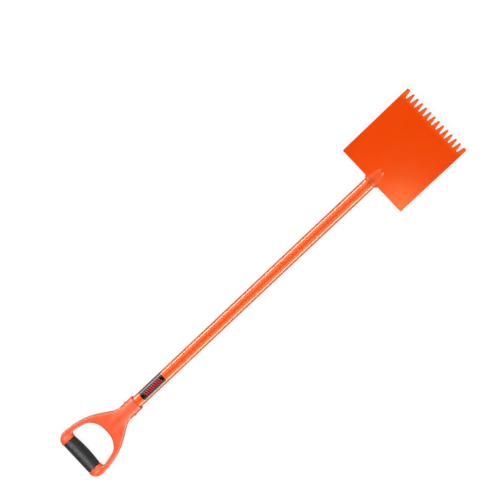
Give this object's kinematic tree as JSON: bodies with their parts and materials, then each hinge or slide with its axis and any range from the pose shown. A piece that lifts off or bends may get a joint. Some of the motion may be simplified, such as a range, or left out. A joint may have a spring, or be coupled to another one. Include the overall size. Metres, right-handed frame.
{
  "type": "roof shingle scraper",
  "caption": "Long-handled roof scraper: a flat toothed steel plate welded to a steel tube, with a riveted moulded D-handle and a soft grip sleeve.",
  "frame": {"origin": "bottom centre of the bounding box, with the tool lying on its back", "axes": "+X along the tube from the D-handle to the teeth, +Y across the blade, +Z out of the blade's upper face when the tube lies level"},
  "size_m": [1.2204, 0.202, 0.0488],
  "materials": {
    "painted_steel": "smooth orange powder coat on steel",
    "orange_plastic": "moulded polypropylene, satin, pinker orange than the paint",
    "grip_rubber": "soft black thermoplastic rubber, matt with a faint grain",
    "rivet_steel": "steel rivet painted with the tool's orange",
    "label_film": "glossy black printed film with plain red slanted bars"
  },
  "bodies": {
    "root": {"blade": "painted_steel", "shaft_tube": "painted_steel", "nose_weld": "painted_steel", "shoulder_welds": "painted_steel", "d_handle": "orange_plastic", "grip_sleeve": "grip_rubber", "handle_rivet": "rivet_steel", "label": "label_film"}
  },
  "joints": []
}
